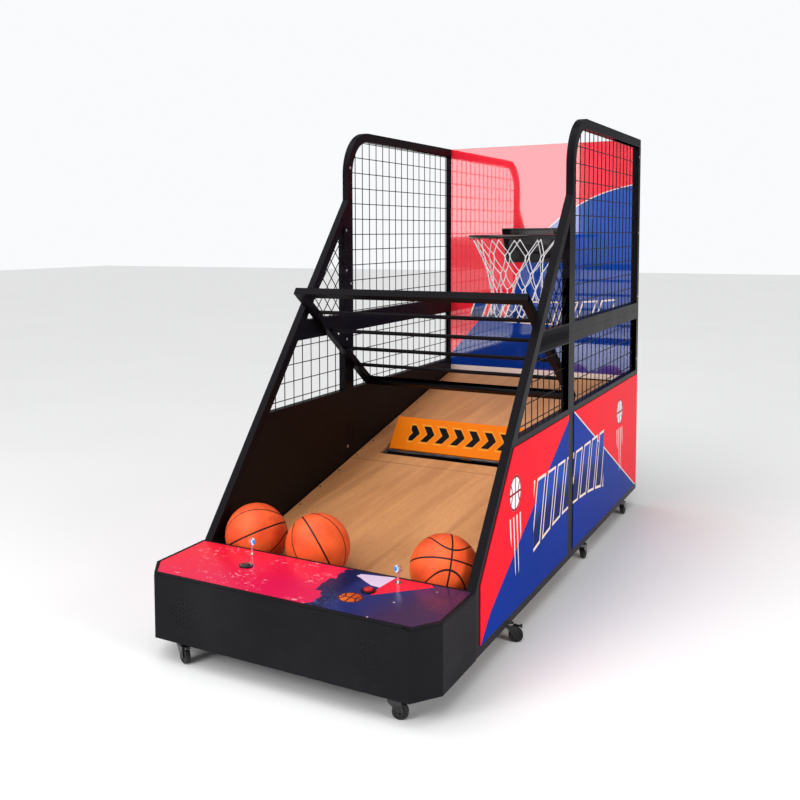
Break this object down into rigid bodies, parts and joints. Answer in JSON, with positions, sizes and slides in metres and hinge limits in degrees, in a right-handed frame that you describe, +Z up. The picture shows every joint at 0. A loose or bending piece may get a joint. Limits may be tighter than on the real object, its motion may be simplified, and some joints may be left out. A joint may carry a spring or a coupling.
{
  "type": "basketball hoop machine",
  "caption": "Free-standing arcade machine with a sloping ball ramp, ball gate, guard grille, mesh sides, backboard, rim with net, control box and casters.",
  "frame": {"origin": "bottom centre of the machine, on the floor under the middle of its length and width", "axes": "+Z up, +Y from the control box to the backboard, +X to the player's right"},
  "size_m": [1.0784, 2.63, 1.868],
  "materials": {
    "box_paint": "satin black powder coat",
    "frame_paint": "satin black powder coat",
    "lid_print": "gloss print, red to navy",
    "side_print": "gloss print, red and blue",
    "board_print": "gloss print, red and blue",
    "zinc": "zinc plated",
    "lock_chrome": "polished",
    "key": "blue plastic head on a steel blade",
    "bezel_black": "moulded",
    "start_cap": "moulded, silver ring",
    "red_cap": "moulded",
    "board_green": "solder mask",
    "case_aluminium": "bare",
    "wire": "black coated welded wire",
    "sheet_black": "satin",
    "wood": "laminated board",
    "gate_orange": "satin print",
    "steel": "bright",
    "motor_grey": "grey paint",
    "rim_black": "gloss black",
    "net_cord": "white braided cord",
    "ball_rubber": "pebbled",
    "caster_black": "black",
    "wheel_rubber": "moulded"
  },
  "bodies": {
    "machine": {"backboard": "board_print", "caster_stems": "zinc", "control_board": "board_green", "control_box_shell": "box_paint", "cross_members": "frame_paint", "frame_bolts": "zinc", "front_frame_left": "frame_paint", "front_frame_right": "frame_paint", "front_ramp_board": "wood", "gate_bearings": "steel", "gate_motor": "motor_grey", "guard_grille": "frame_paint", "hoop_rim": "rim_black", "hoop_sensor": "bezel_black", "inner_sheets": "sheet_black", "lid_hinge_fixed": "zinc", "mains_inlet": "bezel_black", "mesh_left": "wire", "mesh_right": "wire", "net": "net_cord", "power_supply": "case_aluminium", "printed_panels_left": "side_print", "printed_panels_right": "side_print", "rear_frame_left": "frame_paint", "rear_frame_right": "frame_paint", "rear_ramp_board": "wood", "rim_bracket": "rim_black", "speakers": "zinc", "tall_frame_left": "frame_paint", "tall_frame_right": "frame_paint"},
    "lid": {"control_box_lid": "box_paint", "lid_print": "lid_print", "lid_hinge_moving": "zinc", "lock_barrels": "lock_chrome", "button_bezels": "bezel_black"},
    "key_left": {"key_left": "key"},
    "key_right": {"key_right": "key"},
    "start_button": {"start_button_cap": "start_cap"},
    "red_button": {"red_button_cap": "red_cap"},
    "gate": {"gate_flap": "gate_orange", "gate_shaft": "steel"},
    "fork_box_left": {"caster_fork_box_left": "caster_black"},
    "wheel_box_left": {"caster_wheel_box_left": "wheel_rubber"},
    "fork_box_right": {"caster_fork_box_right": "caster_black"},
    "wheel_box_right": {"caster_wheel_box_right": "wheel_rubber"},
    "fork_front_left": {"caster_fork_front_left": "caster_black"},
    "wheel_front_left": {"caster_wheel_front_left": "wheel_rubber"},
    "fork_front_right": {"caster_fork_front_right": "caster_black"},
    "wheel_front_right": {"caster_wheel_front_right": "wheel_rubber"},
    "fork_middle_left": {"caster_fork_middle_left": "caster_black"},
    "wheel_middle_left": {"caster_wheel_middle_left": "wheel_rubber"},
    "fork_middle_right": {"caster_fork_middle_right": "caster_black"},
    "wheel_middle_right": {"caster_wheel_middle_right": "wheel_rubber"},
    "fork_rear_left": {"caster_fork_rear_left": "caster_black"},
    "wheel_rear_left": {"caster_wheel_rear_left": "wheel_rubber"},
    "fork_rear_right": {"caster_fork_rear_right": "caster_black"},
    "wheel_rear_right": {"caster_wheel_rear_right": "wheel_rubber"},
    "ball_left": {"ball_left": "ball_rubber"},
    "ball_middle": {"ball_middle": "ball_rubber"},
    "ball_right": {"ball_right": "ball_rubber"}
  },
  "joints": [
    {"name": "lid_hinge", "type": "hinge", "parent": "machine", "child": "lid", "pos_m": [0, -1.312, 0.2975], "axis": [1, 0, 0], "range_deg": [0, 95]},
    {"name": "key_left_turn", "type": "hinge", "parent": "lid", "child": "key_left", "pos_m": [-0.28, -1.009, 0.3], "axis": [0, 0, 1], "range_deg": [0, 90]},
    {"name": "key_right_turn", "type": "hinge", "parent": "lid", "child": "key_right", "pos_m": [0.28, -1.009, 0.3], "axis": [0, 0, -1], "range_deg": [0, 90]},
    {"name": "start_button_press", "type": "slide", "parent": "lid", "child": "start_button", "axis": [0, 0, -1], "range_m": [0, 0.003], "stiffness_N_per_m": 400, "springref_m": -0.003},
    {"name": "red_button_press", "type": "slide", "parent": "lid", "child": "red_button", "axis": [0, 0, -1], "range_m": [0, 0.003], "stiffness_N_per_m": 400, "springref_m": -0.003},
    {"name": "gate_hinge", "type": "hinge", "parent": "machine", "child": "gate", "pos_m": [0, 0.27, 0.39705], "axis": [1, 0, 0], "range_deg": [-38.3, 0]},
    {"name": "swivel_box_left", "type": "hinge", "parent": "machine", "child": "fork_box_left", "pos_m": [-0.387, -1.267, 0.06], "axis": [0, 0, 1], "continuous": true},
    {"name": "roll_box_left", "type": "hinge", "parent": "fork_box_left", "child": "wheel_box_left", "pos_m": [-0.36706, -1.2763, 0.025], "axis": [0.4226, 0.9063, 0], "continuous": true},
    {"name": "swivel_box_right", "type": "hinge", "parent": "machine", "child": "fork_box_right", "pos_m": [0.387, -1.267, 0.06], "axis": [0, 0, 1], "continuous": true},
    {"name": "roll_box_right", "type": "hinge", "parent": "fork_box_right", "child": "wheel_box_right", "pos_m": [0.40767, -1.25948, 0.025], "axis": [-0.342, 0.9397, 0], "continuous": true},
    {"name": "swivel_front_left", "type": "hinge", "parent": "machine", "child": "fork_front_left", "pos_m": [-0.507, -0.602, 0.06], "axis": [0, 0, 1], "continuous": true},
    {"name": "roll_front_left", "type": "hinge", "parent": "fork_front_left", "child": "wheel_front_left", "pos_m": [-0.48633, -0.59448, 0.025], "axis": [-0.342, 0.9397, 0], "continuous": true},
    {"name": "swivel_front_right", "type": "hinge", "parent": "machine", "child": "fork_front_right", "pos_m": [0.507, -0.602, 0.06], "axis": [0, 0, 1], "continuous": true},
    {"name": "roll_front_right", "type": "hinge", "parent": "fork_front_right", "child": "wheel_front_right", "pos_m": [0.52767, -0.59448, 0.025], "axis": [-0.342, 0.9397, 0], "continuous": true},
    {"name": "swivel_middle_left", "type": "hinge", "parent": "machine", "child": "fork_middle_left", "pos_m": [-0.507, 0.335, 0.06], "axis": [0, 0, 1], "continuous": true},
    {"name": "roll_middle_left", "type": "hinge", "parent": "fork_middle_left", "child": "wheel_middle_left", "pos_m": [-0.507, 0.357, 0.025], "axis": [-1, 0, 0], "continuous": true},
    {"name": "swivel_middle_right", "type": "hinge", "parent": "machine", "child": "fork_middle_right", "pos_m": [0.507, 0.335, 0.06], "axis": [0, 0, 1], "continuous": true},
    {"name": "roll_middle_right", "type": "hinge", "parent": "fork_middle_right", "child": "wheel_middle_right", "pos_m": [0.507, 0.357, 0.025], "axis": [-1, 0, 0], "continuous": true},
    {"name": "swivel_rear_left", "type": "hinge", "parent": "machine", "child": "fork_rear_left", "pos_m": [-0.507, 1.073, 0.06], "axis": [0, 0, 1], "continuous": true},
    {"name": "roll_rear_left", "type": "hinge", "parent": "fork_rear_left", "child": "wheel_rear_left", "pos_m": [-0.507, 1.095, 0.025], "axis": [-1, 0, 0], "continuous": true},
    {"name": "swivel_rear_right", "type": "hinge", "parent": "machine", "child": "fork_rear_right", "pos_m": [0.507, 1.073, 0.06], "axis": [0, 0, 1], "continuous": true},
    {"name": "roll_rear_right", "type": "hinge", "parent": "fork_rear_right", "child": "wheel_rear_right", "pos_m": [0.507, 1.095, 0.025], "axis": [-1, 0, 0], "continuous": true},
    {"name": "ball_left_roll", "type": "slide", "parent": "machine", "child": "ball_left", "axis": [0, 0.9785, 0.2062], "range_m": [0, 1]},
    {"name": "ball_middle_roll", "type": "slide", "parent": "machine", "child": "ball_middle", "axis": [0, 0.9785, 0.2062], "range_m": [0, 1]},
    {"name": "ball_right_roll", "type": "slide", "parent": "machine", "child": "ball_right", "axis": [0, 0.9785, 0.2062], "range_m": [0, 1]}
  ]
}
